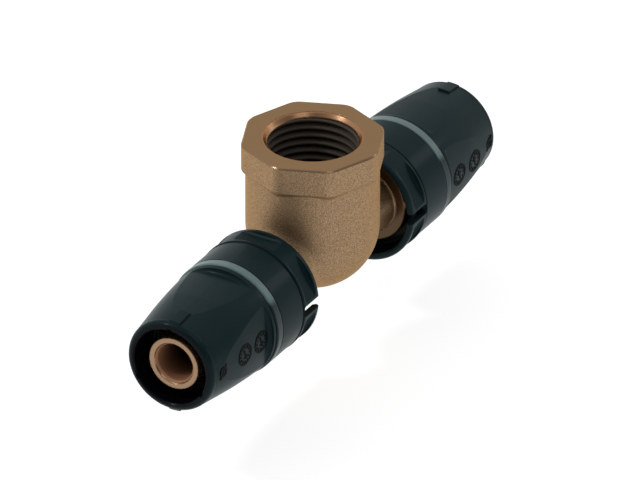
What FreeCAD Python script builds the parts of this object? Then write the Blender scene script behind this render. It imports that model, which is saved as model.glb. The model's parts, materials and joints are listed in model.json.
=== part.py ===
import FreeCAD, Part
import math
import os
import Sketcher
from types import SimpleNamespace

# Push-fit pipe tee with a threaded branch. The run lies along X with one push-fit end at each side,
# and the threaded branch points up along Z. The origin is the centre of the branch's mouth.
# The pieces are drawn about the crossing of the two centre lines and then let down by the mouth's
# height. Every end piece is drawn along its own Z, which is the distance from the branch centre
# line, and is then laid along +X for the right end and -X for the left end.

doc = FreeCAD.newDocument("tee")

# Driving sizes in millimetres, slopes and openings in degrees
driving = {
    "fit_gap": 0.1,
    # cast body
    "body_radius": 13.95,
    "bowl_height": 5.75,
    "neck_radius": 7.0,
    "neck_fillet": 4.0,
    "octagon_flats": 28.6,
    "octagon_round": 4.2,
    "octagon_edge": 0.35,
    "octagon_height": 6.0,
    "octagon_top": 25.85,
    "underside_slope": 40.0,
    "thread_radius": 10.4775,
    "thread_depth": 15.0,
    "chamber_radius": 8.5,
    "waterway_radius": 4.2,
    # run ends of the body, placed by their distance from the branch centre line
    "flange_start": 21.7,
    "flange_width": 2.2,
    "flange_radius": 9.45,
    "groove_radius": 7.6,
    "shoulder_start": 26.2,
    "shoulder_end": 30.6,
    "shoulder_radius": 8.4,
    "nipple_radius": 5.92,
    "nipple_end": 56.4,
    "seal_section": 1.3,
    "seal_start": 38.4,
    "seal_pitch": 3.8,
    # sleeve
    "skirt_end": 18.85,
    "skirt_radius": 12.85,
    "skirt_wall": 1.45,
    "skirt_slit": 2.4,
    "flat_distance": 11.9,
    "seam": 25.2,
    "collar_end": 33.55,
    "collar_step": 0.15,
    "spigot_radius": 9.8,
    "spigot_end": 43.8,
    "pipe_radius": 8.0,
    "stop_ring_width": 2.7,
    "window_width": 1.95,
    # cap and clamp ring
    "rim_radius": 12.38,
    "rim_width": 1.15,
    "barrel_radius": 11.92,
    "barrel_middle": 44.5,
    "mouth_radius": 10.28,
    "mouth_bore": 8.5,
    "cap_tip": 58.1,
    "cone_end": 51.5,
    "facet_axis": 11.5,
    "facet_floor": 11.2,
    "facet_middle": 10.97,
    "clamp_end": 50.2,
    "clamp_split": 2.5,
}

sheet = doc.addObject("Spreadsheet::Sheet", "Sizes")
for row, (alias, value) in enumerate(driving.items(), start=1):
    sheet.set(f"A{row}", alias)
    sheet.set(f"B{row}", str(value))
    sheet.setAlias(f"B{row}", alias)
doc.recompute()


class Size:
    """A length that keeps its value together with the sheet formula that gives it."""

    def __init__(self, value, formula):
        self.value = float(value)
        self.formula = formula

    def __add__(self, other):
        other = as_size(other)
        return Size(self.value + other.value, f"({self.formula} + {other.formula})")

    def __sub__(self, other):
        other = as_size(other)
        return Size(self.value - other.value, f"({self.formula} - {other.formula})")

    def __mul__(self, factor):
        return Size(self.value * factor, f"({self.formula} * {factor!r})")

    def __neg__(self):
        return Size(-self.value, f"(0 - {self.formula})")


def as_size(number):
    """A plain number as a size without a cell behind it."""
    return number if isinstance(number, Size) else Size(number, repr(float(number)))


s = SimpleNamespace(**{alias: Size(value, f"Sizes.{alias}") for alias, value in driving.items()})


def bind(item, name, size):
    """Give a property its value and tie it to the sheet."""
    size = as_size(size)
    if "Sizes" in size.formula:
        item.setExpression(name, size.formula)
    else:
        setattr(item, name, size.value)


def hold_point(sketch, geometry, end, u, v):
    """Fix a sketch point by its two distances from the sketch origin."""
    for kind, axis, size in (("DistanceX", -2, u), ("DistanceY", -1, v)):
        if abs(size.value) < 1e-9:
            sketch.addConstraint(Sketcher.Constraint("PointOnObject", geometry, end, axis))
            continue
        index = sketch.addConstraint(Sketcher.Constraint(kind, -1, 1, geometry, end, size.value))
        if "Sizes" in size.formula:
            sketch.setExpression(f"Constraints[{index}]", size.formula)


def outline(body, name, corners, plane="XZ_Plane", shift=(0, 0, 0), turn=0):
    """Closed sketch through the corners (u, v).

    A third value rounds that corner with a tangent arc, and "flat" after it makes a bevel with legs
    of that length instead. The sketch lies on a plane of the body's origin, moved by shift in its
    own u, v and normal directions and turned about its v direction.
    """
    sketch = body.newObject("Sketcher::SketchObject", name)
    sketch.AttachmentSupport = [(next(f for f in body.Origin.OriginFeatures if f.Role == plane), "")]
    sketch.MapMode = "FlatFace"
    sketch.AttachmentOffset = FreeCAD.Placement(
        FreeCAD.Vector(*(as_size(step).value for step in shift)),
        FreeCAD.Rotation(FreeCAD.Vector(0, 1, 0), turn))
    for letter, step in zip("xyz", shift):
        if isinstance(step, Size):
            sketch.setExpression(f".AttachmentOffset.Base.{letter}", step.formula)

    corners = [(as_size(c[0]), as_size(c[1]), *c[2:]) for c in corners]
    points = []
    for i, (u, v, *soft) in enumerate(corners):
        if len(soft) < 2:
            points.append((u, v, as_size(soft[0]) if soft else None))
            continue
        for near in (corners[i - 1], corners[(i + 1) % len(corners)]):
            way = FreeCAD.Vector(near[0].value - u.value, near[1].value - v.value, 0).normalize()
            points.append((u + soft[0] * way.x, v + soft[0] * way.y, None))
    spots = [FreeCAD.Vector(u.value, v.value, 0) for u, v, _ in points]
    count = len(points)
    arrive, leave, arcs = [], [], {}
    for i, (_, _, radius) in enumerate(points):
        here = spots[i]
        back = (spots[i - 1] - here).normalize()
        ahead = (spots[(i + 1) % count] - here).normalize()
        if radius is None:
            arrive.append(here)
            leave.append(here)
            continue
        half = back.getAngle(ahead) / 2
        reach = radius.value / math.tan(half)
        middle = here + (back + ahead).normalize() * (radius.value / math.sin(half))
        arrive.append(here + back * reach)
        leave.append(here + ahead * reach)
        arcs[i] = (middle, ahead.cross(back).z > 0)

    lines = [Part.LineSegment(leave[i], arrive[(i + 1) % count]) for i in range(count)]
    for line in lines:
        sketch.addGeometry(line, False)
    for i, (u, v, radius) in enumerate(points):
        before = (i - 1) % count
        if radius is None:
            sketch.addConstraint(Sketcher.Constraint("Coincident", before, 2, i, 1))
            hold_point(sketch, i, 1, u, v)
            continue
        middle, left_turn = arcs[i]
        first, last = (arrive[i], leave[i]) if left_turn else (leave[i], arrive[i])
        angles = [math.atan2(p.y - middle.y, p.x - middle.x) for p in (first, last)]
        if angles[1] < angles[0]:
            angles[1] += 2 * math.pi
        circle = Part.Circle(middle, FreeCAD.Vector(0, 0, 1), radius.value)
        arc = sketch.addGeometry(Part.ArcOfCircle(circle, *angles), False)
        start, end = (1, 2) if left_turn else (2, 1)
        sketch.addConstraint(Sketcher.Constraint("Tangent", before, 2, arc, start))
        sketch.addConstraint(Sketcher.Constraint("Tangent", arc, end, i, 1))
        index = sketch.addConstraint(Sketcher.Constraint("Radius", arc, radius.value))
        if "Sizes" in radius.formula:
            sketch.setExpression(f"Constraints[{index}]", radius.formula)
        corner = sketch.addGeometry(Part.Point(spots[i]), True)
        hold_point(sketch, corner, 1, u, v)
        sketch.addConstraint(Sketcher.Constraint("PointOnObject", corner, 1, before))
        sketch.addConstraint(Sketcher.Constraint("PointOnObject", corner, 1, i))
    return sketch


def turned(body, kind, name, corners, axis="V_Axis", angle=360, **place):
    """Revolution or Groove of an outline about one of its own sketch axes."""
    sketch = outline(body, name + "Profile", corners, **place)
    feature = body.newObject("PartDesign::" + kind, name)
    feature.Profile = sketch
    feature.ReferenceAxis = (sketch, [axis])
    feature.Angle = angle
    feature.Midplane = angle < 360
    return feature


def straight(body, kind, name, corners, length, reverse=False, middle=False, **place):
    """Pad or Pocket of an outline."""
    sketch = outline(body, name + "Outline", corners, **place)
    feature = body.newObject("PartDesign::" + kind, name)
    feature.Profile = sketch
    bind(feature, "Length", length)
    feature.Reversed = reverse
    feature.Midplane = middle
    return feature


def around(body, name, feature, count):
    """Repeat a feature evenly about the body's Z axis."""
    pattern = body.newObject("PartDesign::PolarPattern", name)
    pattern.Originals = [feature]
    pattern.Axis = (next(f for f in body.Origin.OriginFeatures if f.Role == "Z_Axis"), [""])
    pattern.Angle = 360
    pattern.Occurrences = count
    body.Tip = pattern
    return pattern


def new_body(label):
    """Empty body with the name of its piece."""
    body = doc.addObject("PartDesign::Body", label)
    body.Label = label
    return body


# Distances and radii shared by the pieces that fit together
flange_end = s.flange_start + s.flange_width
seal_floor = s.nipple_radius - s.seal_section * 0.7
seal_groove = s.seal_section * 1.4
window_end = s.collar_end + s.window_width
collar_radius = s.skirt_radius - s.collar_step
spigot_bore = s.pipe_radius + s.fit_gap * 3
cavity_radius = s.spigot_radius + s.fit_gap
cone_radius = s.mouth_bore + s.fit_gap
stop_end = s.shoulder_end + s.stop_ring_width
seal_end = s.seal_start + s.seal_pitch


# Cast body: upright barrel with a round bottom, necks, octagon, and the machined ends and bores
def make_tee_body():
    body = new_body("tee_body")
    octagon_bottom = s.octagon_top - s.octagon_height

    barrel = body.newObject("PartDesign::AdditiveCylinder", "Barrel")
    bind(barrel, "Radius", s.body_radius)
    bind(barrel, "Height", s.octagon_top - s.bowl_height - 1)
    bind(barrel, "AttachmentOffset.Base.z", s.bowl_height)
    barrel.AttachmentSupport = [(next(f for f in body.Origin.OriginFeatures if f.Role == "XY_Plane"), "")]
    barrel.MapMode = "FlatFace"
    bowl = body.newObject("PartDesign::AdditiveSphere", "Bowl")
    bind(bowl, "Radius", s.body_radius)
    bind(bowl, "AttachmentOffset.Base.z", s.bowl_height)
    bowl.AttachmentSupport = barrel.AttachmentSupport
    bowl.MapMode = "FlatFace"

    # solid run ends: neck, flange, groove for the sleeve's lip, shoulder, nipple with two seal grooves
    end = s.nipple_end
    nipple = s.nipple_radius
    seals = []
    for middle in (seal_end, s.seal_start):
        front = middle + seal_groove * 0.5
        rear = middle - seal_groove * 0.5
        seals += [(front, nipple), (front, seal_floor), (rear, seal_floor), (rear, nipple)]
    run = turned(body, "Revolution", "RunEnd", [
        (0, 0), (end, 0), (end, nipple - 0.15), (end - 0.4, nipple), *seals,
        (s.shoulder_end, nipple), (s.shoulder_end, s.shoulder_radius - 0.9),
        (s.shoulder_end - 0.9, s.shoulder_radius), (s.shoulder_start, s.shoulder_radius),
        (s.shoulder_start, s.groove_radius), (flange_end, s.groove_radius),
        (flange_end, s.flange_radius, 0.25, "flat"), (s.flange_start, s.flange_radius, 0.25, "flat"),
        (s.flange_start, s.neck_radius, 0.35, "flat"), (0, s.neck_radius)], axis="H_Axis")
    both = body.newObject("PartDesign::Mirrored", "BothRunEnds")
    both.Originals = [run]
    both.MirrorPlane = (next(f for f in body.Origin.OriginFeatures if f.Role == "YZ_Plane"), [""])
    body.Tip = both
    doc.recompute()

    # soft cast fillets where the necks leave the round body
    joins = []
    for number, edge in enumerate(both.Shape.Edges, start=1):
        if edge.Degenerated or edge.Curve.TypeId == "Part::GeomLine":
            continue
        span = edge.LastParameter - edge.FirstParameter
        samples = [edge.valueAt(edge.FirstParameter + t * span) for t in (0, 0.3, 0.7, 1)]
        on_neck = all(abs(math.hypot(p.y, p.z) - driving["neck_radius"]) < 0.01 for p in samples)
        at_body = all(1 < abs(p.x) < driving["body_radius"] + 0.01 for p in samples)
        if on_neck and at_body:
            joins.append(f"Edge{number}")
    soft = body.newObject("PartDesign::Fillet", "NeckFillets")
    soft.Base = (both, joins)
    bind(soft, "Radius", s.neck_fillet)

    # eight-sided wrench flats with rounded corners and a softened top edge, and the sloped underside
    # that meets the barrel
    reach = 0.5 / math.cos(math.pi / 8)
    octagon = [(s.octagon_flats * (reach * math.cos(k * math.pi / 4)),
                s.octagon_flats * (reach * math.sin(k * math.pi / 4)), s.octagon_round) for k in range(8)]
    straight(body, "Pad", "WrenchFlats", octagon, s.octagon_height - s.octagon_edge,
             plane="XY_Plane", shift=(0, 0, octagon_bottom))
    rim = straight(body, "Pad", "FlatsTopEdge", octagon, s.octagon_edge,
                   plane="XY_Plane", shift=(0, 0, s.octagon_top - s.octagon_edge))
    bind(rim, "TaperAngle", -45)
    under = straight(body, "Pad", "FlatsUnderside", octagon, 2.2, reverse=True,
                     plane="XY_Plane", shift=(0, 0, octagon_bottom))
    bind(under, "TaperAngle", -s.underside_slope)

    # branch bore: thread length, then the chamber that opens into the run
    thread_end = s.octagon_top - s.thread_depth
    turned(body, "Groove", "BranchBore", [
        (0, s.octagon_top + 1), (s.thread_radius, s.octagon_top + 1), (s.thread_radius, thread_end),
        (s.chamber_radius, thread_end - 1.2), (s.chamber_radius, -s.waterway_radius, 4),
        (0, -s.waterway_radius)])

    # waterway through both nipples, countersunk at the tips
    bore = s.waterway_radius
    turned(body, "Groove", "Waterway", [
        (-end - 1, 0), (-end - 1, bore + 1.2), (-end + 0.8, bore), (end - 0.8, bore),
        (end + 1, bore + 1.2), (end + 1, 0)], axis="H_Axis")
    return body


# Sleeve: skirt over the body flange, lip in the body groove, collar, and spigot inside the cap
def make_base_sleeve(label):
    body = new_body(label)
    inner = s.skirt_radius - s.skirt_wall
    spigot = s.spigot_radius
    bore = s.shoulder_radius + s.fit_gap * 3
    turned(body, "Revolution", "SleeveWall", [
        (inner + 0.5, s.skirt_end), (s.skirt_radius, s.skirt_end, 0.75),
        (s.skirt_radius, s.seam - 0.3), (s.skirt_radius - 0.4, s.seam - 0.1),
        (s.skirt_radius - 0.4, s.seam + 0.1), (collar_radius, s.seam + 0.3),
        (collar_radius, s.collar_end, 0.12, "flat"), (spigot, s.collar_end),
        (spigot, s.spigot_end - 0.8), (spigot - 0.5, s.spigot_end), (spigot_bore, s.spigot_end),
        (spigot_bore, stop_end + 0.4), (bore, stop_end), (bore, s.shoulder_start - s.fit_gap),
        (s.groove_radius + s.fit_gap, s.shoulder_start - s.fit_gap),
        (s.groove_radius + s.fit_gap, flange_end), (inner, flange_end, 0.35, "flat"),
        (inner, s.skirt_end + 0.6)])
    # six flats, each a shallow pocket with soft end walls
    flat = straight(body, "Pocket", "SkirtFlat", [
        (s.flat_distance, s.skirt_end + 1.3, 0.4, "flat"), (s.flat_distance, s.seam - 0.8, 0.4, "flat"),
        (s.skirt_radius + 1, s.seam - 0.8), (s.skirt_radius + 1, s.skirt_end + 1.3)],
        s.skirt_radius * 1.2, middle=True)
    around(body, "SkirtFlats", flat, 6)
    # two slits that let the skirt spring over the flange
    slit = straight(body, "Pocket", "SkirtSlit", [
        (s.skirt_slit * -0.5, s.skirt_end - 1), (s.skirt_slit * 0.5, s.skirt_end - 1),
        (s.skirt_slit * 0.5, s.seam - 0.3, 0.3, "flat"),
        (s.skirt_slit * -0.5, s.seam - 0.3, 0.3, "flat")],
        s.skirt_wall + 2, reverse=True, shift=(0, 0, inner - 0.2))
    around(body, "SkirtSlits", slit, 2)
    return body


# Window ring: clear ring held between the sleeve's collar and the cap
def make_window_ring(label):
    body = new_body(label)
    turned(body, "Revolution", "RingWall", [
        (s.spigot_radius + s.fit_gap, s.collar_end), (collar_radius, s.collar_end, 0.12, "flat"),
        (collar_radius, window_end, 0.2, "flat"), (s.spigot_radius + s.fit_gap, window_end)])
    return body


# Cap: curved barrel with a thin full rim, four scooped facets, cone inside for the clamp ring
def make_cap(label):
    body = new_body(label)
    rim_end = window_end + s.rim_width
    tip = s.cap_tip
    turned(body, "Revolution", "CapWall", [
        (cavity_radius, window_end), (s.rim_radius, window_end, 0.2, "flat"),
        (s.rim_radius, rim_end, 0.25, "flat"), (s.barrel_radius, s.barrel_middle, 150),
        (s.mouth_radius, tip - 1.6), (s.mouth_radius - 0.02, tip, 1.38),
        (s.mouth_bore, tip, 0.3, "flat"), (s.mouth_bore, s.cone_end + 0.4), (cone_radius, s.cone_end),
        (cavity_radius, s.spigot_end)])
    # facets: the cutting outline turns about an axis set off to the far side, so each is softly convex
    off = s.facet_axis
    facet = turned(body, "Groove", "Facet", [
        (off + s.facet_floor, rim_end, 0.8), (off + s.facet_middle, s.barrel_middle + 2),
        (off + s.facet_middle - 0.49, tip - 2), (off + s.rim_radius + 2, tip - 2),
        (off + s.rim_radius + 2, rim_end)], shift=(-off, 0, 0))
    around(body, "Facets", facet, 4)
    # two low pads by the mouth, a mirrored pair, and one small tab
    low = s.mouth_radius - 0.6
    pad = turned(body, "Revolution", "MouthPad", [
        (low, tip - 5.3), (s.mouth_radius + 0.82, tip - 5.3), (s.mouth_radius + 0.3, tip - 1.1),
        (s.mouth_radius - 0.3, tip - 0.7), (low, tip - 0.7)], angle=14, turn=-3.5)
    pair = body.newObject("PartDesign::Mirrored", "MouthPads")
    pair.Originals = [pad]
    pair.MirrorPlane = (next(f for f in body.Origin.OriginFeatures if f.Role == "YZ_Plane"), [""])
    body.Tip = pair
    turned(body, "Revolution", "MouthTab", [
        (low, tip - 2.1), (s.mouth_radius + 0.25, tip - 2.1), (s.mouth_radius + 0.1, tip - 1.2),
        (s.mouth_radius - 0.4, tip - 0.5), (low, tip - 0.5)], angle=10, turn=-48.5)
    # three short notches in the mouth
    notch = straight(body, "Pocket", "MouthNotch", [
        (s.mouth_bore - 0.5, -0.6), (s.mouth_bore + 0.5, -0.6, 0.15, "flat"),
        (s.mouth_bore + 0.5, 0.6, 0.15, "flat"), (s.mouth_bore - 0.5, 0.6)], 2.5,
        plane="XY_Plane", shift=(0, 0, tip))
    around(body, "MouthNotches", notch, 3)
    return body


# Clamp ring: split ring in the cone, with sharp teeth inside that grip the pipe
def make_clamp_ring(label):
    body = new_body(label)
    start = s.spigot_end
    drop = driving["spigot_radius"] - driving["mouth_bore"]
    slope = drop / (driving["cone_end"] - driving["spigot_end"])
    thin = cavity_radius - s.fit_gap * 1.2 - (s.clamp_end - start) * slope
    bottom = s.pipe_radius + 0.55
    crest = s.pipe_radius + 0.05
    width = (s.clamp_end - start) * 0.25
    teeth = []
    for k in range(4):
        tooth = s.clamp_end - width * k
        teeth += [(crest, tooth - 0.2), (bottom, tooth - width + 0.1)]
    turned(body, "Revolution", "ClampWall", [
        (bottom, start), (cavity_radius - s.fit_gap * 1.2, start), (thin, s.clamp_end),
        (crest + 0.15, s.clamp_end), *teeth[:-1]])
    straight(body, "Pocket", "Split", [
        (s.clamp_split * -0.5, start - 1), (s.clamp_split * 0.5, start - 1),
        (s.clamp_split * 0.5, s.clamp_end + 1), (s.clamp_split * -0.5, s.clamp_end + 1)],
        s.spigot_radius + 2, reverse=True)
    return body


# Stop ring: plain ring against the body's shoulder
def make_stop_ring(label):
    body = new_body(label)
    inner = s.nipple_radius + s.fit_gap
    outer = s.pipe_radius + s.fit_gap
    turned(body, "Revolution", "StopWall", [
        (inner, s.shoulder_end), (outer, s.shoulder_end), (outer, stop_end, 0.2, "flat"), (inner, stop_end)])
    return body


# Seal: round-section ring lying in one nipple groove
def make_seal(label):
    ring = doc.addObject("Part::Torus", label)
    ring.Label = label
    bind(ring, "Radius1", seal_floor + s.seal_section * 0.5 + s.fit_gap * 0.2)
    bind(ring, "Radius2", s.seal_section * 0.5)
    return ring


def lay(piece, way):
    """Turn a piece about Y by that many degrees and let it down to the frame of the mouth."""
    piece.Placement = FreeCAD.Placement(
        FreeCAD.Vector(0, 0, -driving["octagon_top"]), FreeCAD.Rotation(FreeCAD.Vector(0, 1, 0), way))
    piece.setExpression(".Placement.Base.z", (-s.octagon_top).formula)
    pieces.append(piece)


pieces = []
lay(make_tee_body(), 0)
for side, angle in (("left", -90), ("right", 90)):
    for make, name in ((make_base_sleeve, "base_sleeve"), (make_window_ring, "window_ring"),
                       (make_cap, "cap"), (make_clamp_ring, "clamp_ring"), (make_stop_ring, "stop_ring")):
        lay(make(f"{side}_{name}"), angle)
    for name, middle in (("inner_o_ring", s.seal_start), ("outer_o_ring", seal_end)):
        seal = make_seal(f"{side}_{name}")
        lay(seal, angle)
        bind(seal, ".Placement.Base.x", middle * (angle / 90))

doc.recompute()
for item in doc.Objects:
    faults = [state for state in item.State if state in ("Invalid", "Error")]
    if faults:
        raise RuntimeError(f"{item.Name} is {faults}")
os.makedirs("parts", exist_ok=True)
for piece in pieces:
    if piece.Shape.isNull() or not piece.Shape.isValid():
        raise RuntimeError(f"{piece.Label} has no sound shape")
    piece.Shape.exportStep(f"parts/{piece.Label}.step")
    print(piece.Label, round(piece.Shape.Volume, 1), len(piece.Shape.Solids), piece.Shape.BoundBox)
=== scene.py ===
import json
import math

import bpy
import numpy as np
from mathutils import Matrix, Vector


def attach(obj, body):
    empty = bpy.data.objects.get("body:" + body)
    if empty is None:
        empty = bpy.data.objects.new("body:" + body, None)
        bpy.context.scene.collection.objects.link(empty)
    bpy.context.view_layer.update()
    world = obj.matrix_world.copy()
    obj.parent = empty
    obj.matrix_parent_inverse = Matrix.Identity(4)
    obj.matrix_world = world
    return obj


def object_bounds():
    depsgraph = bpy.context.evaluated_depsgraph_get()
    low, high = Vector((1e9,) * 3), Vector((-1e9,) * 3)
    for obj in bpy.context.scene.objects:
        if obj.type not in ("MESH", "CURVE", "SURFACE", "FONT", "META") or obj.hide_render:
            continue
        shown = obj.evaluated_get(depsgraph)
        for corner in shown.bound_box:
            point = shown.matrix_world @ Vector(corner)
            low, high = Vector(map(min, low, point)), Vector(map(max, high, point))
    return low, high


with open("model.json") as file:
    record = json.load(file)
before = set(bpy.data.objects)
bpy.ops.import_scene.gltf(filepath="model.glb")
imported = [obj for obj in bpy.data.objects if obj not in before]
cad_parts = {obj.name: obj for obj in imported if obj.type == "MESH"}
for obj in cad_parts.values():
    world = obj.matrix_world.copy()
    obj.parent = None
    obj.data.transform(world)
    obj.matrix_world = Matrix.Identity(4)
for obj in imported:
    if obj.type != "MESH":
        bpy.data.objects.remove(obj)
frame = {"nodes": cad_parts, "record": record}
cad_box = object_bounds()

# Camera: long lens from the near left end, 30 degrees above the floor, as in the photograph.
# The picture has 4.83 pixels to the millimetre at the crossing of the centre lines, which lies
# 7.4 pixels left of its middle and 4.5 pixels below it.
crossing = Vector((0, 0, -0.02585))
azimuth, elevation, distance = math.radians(-59.6), math.radians(30.2), 4.7
pixels_per_metre, picture_width, sensor = 4830, 640, 36
back = Vector((math.sin(azimuth) * math.cos(elevation),
               -math.cos(azimuth) * math.cos(elevation), math.sin(elevation)))
turn = (-back).to_track_quat("-Z", "Y")
right, up = turn @ Vector((1, 0, 0)), turn @ Vector((0, 1, 0))
camera = bpy.data.objects.new("camera", bpy.data.cameras.new("camera"))
camera.data.sensor_width = sensor
camera.data.lens = sensor * pixels_per_metre * distance / picture_width
camera.data.clip_start, camera.data.clip_end = 0.1, 20
camera.location = (crossing + back * distance + right * (7.4 / pixels_per_metre)
                   + up * (4.5 / pixels_per_metre))
camera.rotation_mode = "QUATERNION"
camera.rotation_quaternion = turn
bpy.context.scene.collection.objects.link(camera)
bpy.context.scene.camera = camera
bpy.context.scene.view_settings.view_transform = "Standard"


# Studio: a white ground all round, which the lens and the reflections see, with a dark card on the
# viewer's side that shows in reflections alone. Other rays get a dimmer soft light. Under the part
# lies a pale floor, and three soft square lamps stand round it.
def fill(tree, socket, value):
    """Link the socket to another node's output, or set it to a plain value."""
    if isinstance(value, bpy.types.NodeSocket):
        tree.links.new(value, socket)
    else:
        socket.default_value = value


def calculate(tree, kind, first, second=0.0):
    """Number worked out by a Math node of the given kind."""
    node = tree.nodes.new("ShaderNodeMath")
    node.operation = kind
    fill(tree, node.inputs[0], first)
    fill(tree, node.inputs[1], second)
    return node.outputs["Value"]


def ramp(tree, value, start, end, low, high, shape="LINEAR"):
    """Number that goes from low to high while the value goes from start to end."""
    node = tree.nodes.new("ShaderNodeMapRange")
    node.interpolation_type = shape
    for name, amount in (("Value", value), ("From Min", start), ("From Max", end),
                         ("To Min", low), ("To Max", high)):
        fill(tree, node.inputs[name], amount)
    return node.outputs["Result"]


def mix_numbers(tree, share, first, second):
    """Number that is the first at a share of 0 and the second at a share of 1."""
    node = tree.nodes.new("ShaderNodeMix")
    for index, value in ((0, share), (2, first), (3, second)):
        fill(tree, node.inputs[index], value)
    return node.outputs[0]


def reflected_rays(tree, path):
    """Share that is 1 for rays that left a gloss or went through a clear piece."""
    return calculate(tree, "MAXIMUM", path.outputs["Is Glossy Ray"],
                     path.outputs["Is Transmission Ray"])


def make_studio_sky():
    """World whose strength is 1 for the lens. For reflections it falls from 1 to the dark card, and
    for other rays from a dimmer light to a low one. Both fall by a smooth ramp of the dot product
    of the ray's direction and the level direction towards the viewer."""
    to_viewer, start, end = (-0.610, -0.792, 0), -0.3, 0.9
    ground, card, far_light, near_light = 1.0, 0.16, 0.72, 0.2
    world = bpy.data.worlds.new("studio")
    bpy.context.scene.world = world
    world.use_nodes = True
    tree = world.node_tree
    tree.nodes.clear()
    facing = tree.nodes.new("ShaderNodeVectorMath")
    facing.operation = "DOT_PRODUCT"
    fill(tree, facing.inputs[0], tree.nodes.new("ShaderNodeTexCoord").outputs["Generated"])
    fill(tree, facing.inputs[1], to_viewer)
    facing = facing.outputs["Value"]
    path = tree.nodes.new("ShaderNodeLightPath")
    light = ramp(tree, facing, start, end, far_light, near_light, "SMOOTHSTEP")
    mirrored = ramp(tree, facing, start, end, ground, card, "SMOOTHSTEP")
    strength = mix_numbers(tree, reflected_rays(tree, path), light, mirrored)
    strength = mix_numbers(tree, path.outputs["Is Camera Ray"], strength, ground)
    sky = tree.nodes.new("ShaderNodeBackground")
    fill(tree, sky.inputs["Color"], (1, 1, 1, 1))
    fill(tree, sky.inputs["Strength"], strength)
    out = tree.nodes.new("ShaderNodeOutputWorld")
    fill(tree, out.inputs["Surface"], sky.outputs["Background"])


def make_floor():
    """Flat sheet 15 mm under the part: a matt grey with a glow, which is stronger for the lens and
    for reflections. They see it white with the part's soft shadow, and from below it is clear."""
    half, drop = 3.0, cad_box[0].z - 0.015
    low_glow, seen_glow = 0.42, 0.68
    mesh = bpy.data.meshes.new("floor")
    corners = [(-half, -half, drop), (half, -half, drop), (half, half, drop), (-half, half, drop)]
    mesh.from_pydata(corners, [], [(0, 1, 2, 3)])
    item = bpy.data.objects.new("floor", mesh)
    bpy.context.scene.collection.objects.link(item)
    material = bpy.data.materials.new("floor_white")
    material.use_nodes = True
    tree = material.node_tree
    tree.nodes.clear()
    path = tree.nodes.new("ShaderNodeLightPath")
    seen = calculate(tree, "MAXIMUM", path.outputs["Is Camera Ray"], reflected_rays(tree, path))
    glow = tree.nodes.new("ShaderNodeEmission")
    fill(tree, glow.inputs["Strength"], mix_numbers(tree, seen, low_glow, seen_glow))
    matt = tree.nodes.new("ShaderNodeBsdfDiffuse")
    fill(tree, matt.inputs["Color"], (0.6, 0.61, 0.61, 1))
    both = tree.nodes.new("ShaderNodeAddShader")
    fill(tree, both.inputs[0], matt.outputs["BSDF"])
    fill(tree, both.inputs[1], glow.outputs["Emission"])
    sides = tree.nodes.new("ShaderNodeMixShader")
    fill(tree, sides.inputs["Fac"], tree.nodes.new("ShaderNodeNewGeometry").outputs["Backfacing"])
    fill(tree, sides.inputs[1], both.outputs["Shader"])
    fill(tree, sides.inputs[2], tree.nodes.new("ShaderNodeBsdfTransparent").outputs["BSDF"])
    out = tree.nodes.new("ShaderNodeOutputMaterial")
    fill(tree, out.inputs["Surface"], sides.outputs["Shader"])
    mesh.materials.append(material)


def add_lamp(name, way, size, power):
    """Square soft lamp 0.9 m from the crossing of the centre lines, in the given direction."""
    light = bpy.data.lights.new(name, "AREA")
    light.size = size
    light.energy = power
    item = bpy.data.objects.new(name, light)
    item.location = crossing + Vector(way).normalized() * 0.9
    item.rotation_mode = "QUATERNION"
    item.rotation_quaternion = (-Vector(way)).to_track_quat("-Z", "Y")
    bpy.context.scene.collection.objects.link(item)


make_studio_sky()
make_floor()
add_lamp("high_left", (-0.466, 0.538, 0.709), 0.1, 1.5)
add_lamp("right_rear", (0.734, -0.509, 0.444), 0.2, 0.3)
add_lamp("high_front", (-0.25, -0.47, 0.844), 0.4, 0.8)


# Bronze body: one sand casting, whose skin keeps a fine light and dark grain. The octagon's top,
# the run ends and all bores are machined, so they are smoother and faintly lined by the tool. The
# bores and the flanges inside the skirts carry painted shade, and the waterway painted light near
# its mouth.
def mix_colours(tree, share, first, second):
    """Colour that is the first at a share of 0 and the second at a share of 1."""
    node = tree.nodes.new("ShaderNodeMix")
    node.data_type = "RGBA"
    fill(tree, node.inputs[0], share)
    for index, value in ((6, first), (7, second)):
        fill(tree, node.inputs[index], (*value, 1) if isinstance(value, tuple) else value)
    return node.outputs[2]


def noise(tree, place, scale, detail, roughness=0.5):
    """Smooth random field over the place, from 0 to 1."""
    node = tree.nodes.new("ShaderNodeTexNoise")
    for name, value in (("Vector", place), ("Scale", scale), ("Detail", detail),
                        ("Roughness", roughness)):
        fill(tree, node.inputs[name], value)
    return node.outputs["Fac"]


def rounded_relief(tree, height, strength, distance, radius):
    """Normal of a surface with edges rounded by the radius and the height field on top."""
    soft = tree.nodes.new("ShaderNodeBevel")
    soft.samples = 6
    fill(tree, soft.inputs["Radius"], radius)
    bump = tree.nodes.new("ShaderNodeBump")
    for name, value in (("Strength", strength), ("Distance", distance), ("Height", height),
                        ("Normal", soft.outputs["Normal"])):
        fill(tree, bump.inputs[name], value)
    return bump.outputs["Normal"]


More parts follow.
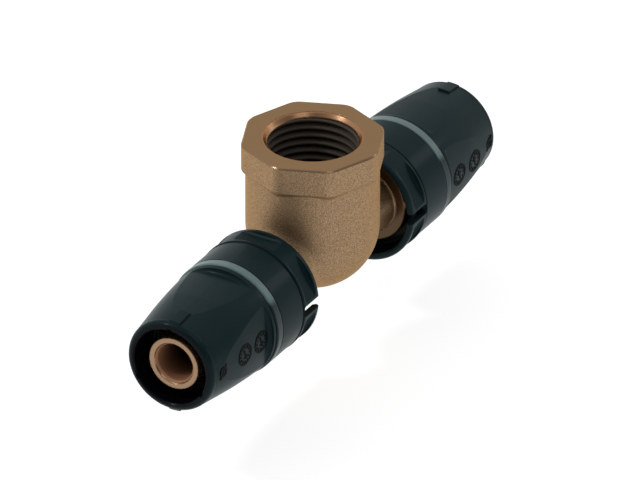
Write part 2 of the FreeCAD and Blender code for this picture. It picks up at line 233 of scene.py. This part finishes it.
def make_bronze():
    """Bronze whose machined zones are picked by height, by distance from the middle along the run,
    and by radius, the root of the sum of two squares, about the branch's and the run's axis."""
    thread_radius, thread_floor = 0.0106, -0.0285
    chamber_radius, chamber_floor = 0.0088, -0.0303
    waterway_radius, waterway_start = 0.0045, 0.0087
    top_edge, chamfer_foot = -0.00034, -0.00115
    flange_start, flange_shade_end, tip_start = 0.02165, 0.034, 0.0485
    light_start, light_end = 0.048, 0.056
    tool_lines = 31000
    material = bpy.data.materials.new("bronze")
    material.use_nodes = True
    tree = material.node_tree
    shader = tree.nodes["Principled BSDF"]

    def calc(kind, first, second=0.0):
        return calculate(tree, kind, first, second)

    def distance(first, second):
        return calc("SQRT", calc("ADD", calc("MULTIPLY", first, first),
                                 calc("MULTIPLY", second, second)))

    place = tree.nodes.new("ShaderNodeTexCoord").outputs["Object"]
    split = tree.nodes.new("ShaderNodeSeparateXYZ")
    fill(tree, split.inputs["Vector"], place)
    x, y, z = (split.outputs[letter] for letter in "XYZ")
    from_branch = distance(x, y)
    from_run = distance(y, calc("ADD", z, -crossing.z))
    from_middle = calc("ABSOLUTE", x)
    in_thread = calc("MULTIPLY", calc("LESS_THAN", from_branch, thread_radius),
                     calc("GREATER_THAN", z, thread_floor))
    in_chamber = calc("MULTIPLY", calc("LESS_THAN", from_branch, chamber_radius),
                      calc("GREATER_THAN", z, chamber_floor))
    in_bore = calc("MAXIMUM", in_thread, in_chamber)
    in_run = calc("MULTIPLY", calc("LESS_THAN", from_run, waterway_radius),
                  calc("GREATER_THAN", from_middle, waterway_start))
    on_top = calc("GREATER_THAN", z, top_edge)
    on_run = calc("GREATER_THAN", from_middle, flange_start)
    machined = calc("MAXIMUM", calc("MAXIMUM", in_bore, in_run), calc("MAXIMUM", on_top, on_run))
    # Painted shade: the bore below the chamfer gets a dark colour for the shade inside it.
    deep = calc("MULTIPLY", in_bore, calc("LESS_THAN", z, chamfer_foot))
    # Painted shade: the flanges near the body, inside the skirts, get a darker colour for the
    # skirts' shadow.
    flange_shade = calc("MULTIPLY", on_run, calc("LESS_THAN", from_middle, flange_shade_end))
    on_tip = calc("GREATER_THAN", from_middle, tip_start)
    lit = ramp(tree, from_middle, light_start, light_end, 0, 1)

    fine, broad = noise(tree, place, 3900, 2, 0.6), noise(tree, place, 160, 3, 0.6)
    grain = ramp(tree, fine, 0.34, 0.66, 0, 1)
    cast = mix_colours(tree, grain, (0.202, 0.129, 0.072), (0.489, 0.336, 0.198))
    cast = mix_colours(tree, calc("MULTIPLY", broad, 0.35), cast, (0.343, 0.215, 0.120))
    tooled = mix_colours(tree, broad, (0.2115, 0.1313, 0.0764), (0.2397, 0.15, 0.0874))
    # Painted shade and light: the waterway is dark deep inside, and near its mouth a warm colour
    # stands in for bounced light.
    waterway_painted_light = mix_colours(tree, lit, (0.034, 0.025, 0.02), (0.46, 0.235, 0.13))
    for zone, colour in ((flange_shade, (0.088, 0.056, 0.033)), (on_tip, (0.315, 0.2, 0.123)),
                         (in_run, waterway_painted_light), (in_bore, (0.31, 0.168, 0.09)),
                         (deep, (0.08, 0.066, 0.054))):
        tooled = mix_colours(tree, zone, tooled, colour)
    matt = calc("MAXIMUM", deep, in_run)
    smooth = calc("SUBTRACT", machined, calc("MULTIPLY", matt, 1.8))
    lines = calc("SINE", calc("MULTIPLY", from_branch, tool_lines))
    relief = calc("ADD", calc("MULTIPLY", fine, calc("SUBTRACT", 1.0, machined)),
                  calc("MULTIPLY", calc("MULTIPLY", lines, machined), 0.004))
    for name, value in (
            ("Base Color", mix_colours(tree, machined, cast, tooled)),
            ("Metallic", calc("SUBTRACT", 0.85, calc("MULTIPLY", matt, 0.35))),
            ("Specular Tint", (0.9, 0.66, 0.42, 1)),
            ("Roughness", calc("SUBTRACT", 0.5, calc("MULTIPLY", smooth, 0.24))),
            ("Normal", rounded_relief(tree, relief, 0.65, 0.00012, 0.0004))):
        fill(tree, shader.inputs[name], value)
    return material


def dress(slot, material):
    """Give the material to each node that the record puts in the slot."""
    for part in frame["record"]["subparts"]:
        if part["material_slot"] == slot:
            materials = frame["nodes"][part["node"]].data.materials
            for index in range(len(materials)):
                materials[index] = material


bronze = make_bronze()
dress("bronze", bronze)


# Branch thread: right-hand parallel pipe thread, 1.814 mm from crest to crest, cut into the bore of
# the octagon, with a turned chamfer at its mouth. The bore's plain wall is its major radius, and
# the ridge is a ring on that wall.
def make_branch_thread():
    """Closed ring with a ridged inside. Its inner radius is the wall's less the ridge's height
    times a rounded triangle wave of the depth over the pitch plus the turn, with the chamfer at the
    mouth and a short run-out at the foot. The outer wall is plain."""
    pitch, wall, ridge, length, mouth = 1.814, 10.46, 1.14, 14.9, 0.03
    chamfer_depth, chamfer_slope, run_out_slope = 1.13, 0.82, 2.0
    turns, steps = 180, 230
    angle = np.linspace(0, 2 * np.pi, turns, endpoint=False)
    depth = np.linspace(mouth, length, steps)
    a, d = np.meshgrid(angle, depth)
    phase = (-d / pitch - a / (2 * np.pi)) % 1.0
    wave = np.clip(np.abs(2 * phase - 1) * 1.5 - 0.2, 0, 1)
    wave = 0.5 * wave + 0.5 * (0.5 - 0.5 * np.cos(np.pi * wave))
    radius = wall - ridge * wave
    radius = np.where(d < chamfer_depth, wall - chamfer_slope * d, radius)
    radius = np.maximum(radius, wall - run_out_slope * (length - d) - 0.02)
    radius[0], radius[-1] = wall, wall
    inner = np.stack([radius * np.cos(a), radius * np.sin(a), -d], axis=-1)
    a, d = np.meshgrid(angle, (length, mouth))
    rim = wall + 0.012
    outer = np.stack([rim * np.cos(a), rim * np.sin(a), -d], axis=-1)
    points = np.concatenate([inner, outer]).reshape(-1, 3) / 1000
    row, column = np.meshgrid(np.arange(steps + 2), np.arange(turns), indexing="ij")
    low, high = row * turns, (row + 1) % (steps + 2) * turns
    after = (column + 1) % turns
    faces = np.stack([low + after, high + after, high + column, low + column], axis=-1)
    mesh = bpy.data.meshes.new("branch_thread")
    mesh.from_pydata(points.tolist(), [], faces.reshape(-1, 4).tolist())
    mesh.polygons.foreach_set("use_smooth", np.ones(len(mesh.polygons), dtype=bool))
    mesh.update()
    mesh.materials.append(bronze)
    item = bpy.data.objects.new("branch_thread", mesh)
    bpy.context.scene.collection.objects.link(item)
    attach(item, "root")


make_branch_thread()


# Sleeves and caps: injection-moulded filled plastic, near black with a blue-green cast and a satin
# skin. Each cap closes on its sleeve. The insides of mouth and skirt are painted black as shade,
# and creases get painted shade that makes them darker than the open skin.
def paint_shade_inside(tree, place, skin, skirt_radius, mouth_radius):
    """Skin with painted shade: black within a radius about the run's centre line, the skirt's
    radius up to the window ring and the mouth's beyond it. Towards the mouth the change to painted
    shade gets softer."""
    window_start, window_end, mouth_end = 0.033, 0.034, 0.057
    split = tree.nodes.new("ShaderNodeSeparateXYZ")
    fill(tree, split.inputs["Vector"], place)
    flat = tree.nodes.new("ShaderNodeCombineXYZ")
    fill(tree, flat.inputs["X"], split.outputs["Y"])
    fill(tree, flat.inputs["Y"], split.outputs["Z"])
    gap = tree.nodes.new("ShaderNodeVectorMath")
    gap.operation = "DISTANCE"
    fill(tree, gap.inputs[0], flat.outputs["Vector"])
    fill(tree, gap.inputs[1], (0, crossing.z, 0))
    along = calculate(tree, "ABSOLUTE", split.outputs["X"])
    limit = ramp(tree, along, window_start, window_end, skirt_radius, mouth_radius)
    beyond = calculate(tree, "SUBTRACT", gap.outputs["Value"], limit)
    fade = ramp(tree, along, window_end, mouth_end, 0.0001, 0.0018)
    # Painted shade: the inside of mouth and skirt is painted black.
    return mix_colours(tree, ramp(tree, beyond, 0, fade, 1, 0), skin, (0.0017, 0.0018, 0.003))


def make_plastic(name, dark, light, roughness, soften, pebble=0.12, gleam=0.1, coat=0.0,
                 inside=None):
    """Moulded plastic: a slow mottle between two near shades, with painted shade in its creases,
    and a fine pebble in its gloss. Within the two inside radii, where they are given, it is painted
    black as shade."""
    material = bpy.data.materials.new(name)
    material.use_nodes = True
    tree = material.node_tree
    place = tree.nodes.new("ShaderNodeTexCoord").outputs["Object"]
    slow, quick = noise(tree, place, 90, 4), noise(tree, place, 2600, 1)
    # Painted shade: the ambient occlusion node darkens the colour in creases.
    crease_shade = tree.nodes.new("ShaderNodeAmbientOcclusion")
    crease_shade.samples = 8
    fill(tree, crease_shade.inputs["Distance"], 0.0009)
    fill(tree, crease_shade.inputs["Color"], mix_colours(tree, slow, dark, light))
    skin = crease_shade.outputs["Color"]
    if inside:
        skin = paint_shade_inside(tree, place, skin, *inside)
    shader = tree.nodes["Principled BSDF"]
    for label, value in (
            ("Base Color", skin),
            ("Specular IOR Level", gleam),
            ("Coat Weight", coat),
            ("Coat Roughness", 0.16),
            ("Coat IOR", 1.3),
            ("Coat Tint", (0.8, 1, 1, 1)),
            ("Roughness", ramp(tree, quick, 0, 1, roughness - 0.04, roughness + 0.04)),
            ("Normal", rounded_relief(tree, quick, pebble, 0.00002, soften))):
        fill(tree, shader.inputs[label], value)
    return material


dress("black_plastic", make_plastic("black_plastic", (0.0056, 0.0176, 0.0202),
                                    (0.0075, 0.0215, 0.0242), 0.4, 0.0004, gleam=0.04, coat=0.15,
                                    inside=(0.01145, 0.00872)))


# Window rings: a see-through grey ring between each sleeve and cap, which shows that the pipe is
# home. Its upper side is painted pale, a painted reflection of light from above. Below, the dark
# sleeve shows.
def make_window():
    """Clear grey plastic that goes from dim to pale by a smooth ramp of the height over the run;
    the pale upper side is a painted reflection.
    """
    painted_sheen_start, painted_sheen_full = crossing.z + 0.0060, crossing.z + 0.0076
    material = make_plastic("window_plastic", (0.012, 0.029, 0.031), (0.016, 0.035, 0.037),
                            0.32, 0.0003, 0.02, 0.2)
    tree = material.node_tree
    skin = tree.nodes["Principled BSDF"].inputs["Base Color"]
    split = tree.nodes.new("ShaderNodeSeparateXYZ")
    fill(tree, split.inputs["Vector"], tree.nodes["Texture Coordinate"].outputs["Object"])
    height = ramp(tree, split.outputs["Z"], painted_sheen_start, painted_sheen_full, 0, 1, "SMOOTHSTEP")
    # Painted reflection: the pale colour on the upper side stands in for light reflected from
    # above.
    fill(tree, skin, mix_colours(tree, height, skin.links[0].from_socket, (0.135, 0.2, 0.2)))
    return material


dress("window", make_window())

# Inner pieces: two rubber seals on each nipple, the toothed clamp ring in the cone of the cap and
# the stop ring at the shoulder. All are plain dark mouldings that the closed fitting hides.
dress("seal", make_plastic("seal_rubber", (0.006, 0.006, 0.006), (0.012, 0.012, 0.012),
                           0.6, 0.0001))
dress("clamp", make_plastic("clamp_plastic", (0.012, 0.012, 0.012), (0.02, 0.019, 0.018),
                            0.5, 0.0001))
dress("insulator", make_plastic("stop_plastic", (0.01, 0.011, 0.012), (0.018, 0.019, 0.02),
                                0.5, 0.0001))

# Date dials and size mark: on one side facet of each cap two moulded dials, a ring with twelve
# ticks and a pointer, and nearer the mouth a plain mark. All are low ribs of the cap's own plastic,
# a little duller than its skin.
mark_plastic = make_plastic("mark_plastic", (0.0015, 0.0022, 0.0024), (0.003, 0.004, 0.0045),
                            0.6, 0.0001, gleam=0.06)


def facet_points(along, across, lift):
    """Places on the side facet: along is the distance from the branch, across the height over the
    run's centre line. The facet is round about a line set off to the far side of the centre line,
    and its floor falls in two straight runs towards the mouth."""
    offset, centre_line = 11.5, -25.85
    reach = offset + np.interp(along, (36.65, 46.5, 56.1), (11.2, 10.97, 10.48))
    out = np.sqrt(reach ** 2 - across ** 2) - offset + lift
    return np.stack([along, -out, across + centre_line], axis=-1)


def add_ribs(strokes, side, name):
    """Ribs along paths on the facet. Each stroke is (path, width, closed): four edges swept along
    the path, two sunk and two raised, joined by flat walls and capped where the path is open. The
    left cap's ribs are the right one's, turned half a turn about the branch's cross line."""
    sunk, raised, half_turn = -0.08, 0.09, -0.0517
    points, faces, base = [], [], 0
    for path, width, closed in strokes:
        path = np.asarray(path, dtype=float)
        count = len(path)
        if closed:
            ahead = np.roll(path, -1, axis=0) - np.roll(path, 1, axis=0)
        else:
            ahead = np.gradient(path, axis=0)
        ahead /= np.linalg.norm(ahead, axis=1)[:, None]
        beside = np.stack([-ahead[:, 1], ahead[:, 0]], axis=-1) * (width / 2)
        edges = ((path + beside, sunk), (path + beside, raised), (path - beside, raised),
                 (path - beside, sunk))
        ring = np.stack([facet_points(*edge.T, lift) for edge, lift in edges], axis=1)
        points.append(ring.reshape(-1, 3))
        i, k = np.meshgrid(np.arange(count if closed else count - 1), np.arange(4), indexing="ij")
        n, m = (i + 1) % count, (k + 1) % 4
        walls = np.stack([4 * i + m, 4 * n + m, 4 * n + k, 4 * i + k], axis=-1).reshape(-1, 4)
        ends = np.array([(3, 2, 1, 0), np.arange(4) + 4 * (count - 1)])
        faces.append(base + (walls if closed else np.concatenate([walls, ends])))
        base += 4 * count
    points = np.concatenate(points) / 1000
    if side < 0:
        points[:, 0] *= -1
        points[:, 2] = half_turn - points[:, 2]
    mesh = bpy.data.meshes.new(name)
    mesh.from_pydata(points.tolist(), [], np.concatenate(faces).tolist())
    mesh.update()
    mesh.materials.append(mark_plastic)
    item = bpy.data.objects.new(name, mesh)
    bpy.context.scene.collection.objects.link(item)
    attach(item, "root")


def circle(radius, steps):
    """Points round a circle: radius times the cosine and the sine of even turns."""
    angle = np.linspace(0, 2 * np.pi, steps, endpoint=False)
    return radius * np.stack([np.cos(angle), np.sin(angle)], axis=-1)


def dial(middle, lower):
    """Ring, twelve ticks inside it and a pointer across the middle, as strokes."""
    ring_radius, tick_radii, lean_angle = 2.27, (1.4, 1.76, 2.12), 1.9
    centre = np.array([middle, -lower])
    strokes = [(centre + circle(ring_radius, 48), 0.4, True)]
    for way in circle(1, 12):
        strokes.append(([centre + way * radius for radius in tick_radii], 0.36, False))
    lean = np.array([np.cos(lean_angle), np.sin(lean_angle)])
    side_way = np.array([-lean[1], lean[0]])
    strokes.append(([centre - lean * 1.08, centre, centre + lean * 0.95], 0.42, False))
    for hand in (-1, 1):
        strokes.append(([centre + lean * 0.35 + side_way * 0.66 * hand,
                         centre + lean * 0.8 + side_way * 0.22 * hand,
                         centre + lean * 1.15], 0.36, False))
    return strokes


def plain_mark(middle):
    """Small ring with a bar through it, as strokes."""
    return [(np.array([middle, 0]) + circle(1.0, 32), 0.5, True),
            ([(middle - 1.05, -1.5), (middle, 0), (middle + 1.05, 1.5)], 0.44, False)]


add_ribs(dial(39.8, 0.1) + dial(45.95, 0.1), -1, "left_dials")
add_ribs(dial(41.7, 0.9) + dial(48.3, 0.9), 1, "right_dials")
add_ribs(plain_mark(54.0), -1, "left_size_mark")
add_ribs(plain_mark(54.9), 1, "right_size_mark")
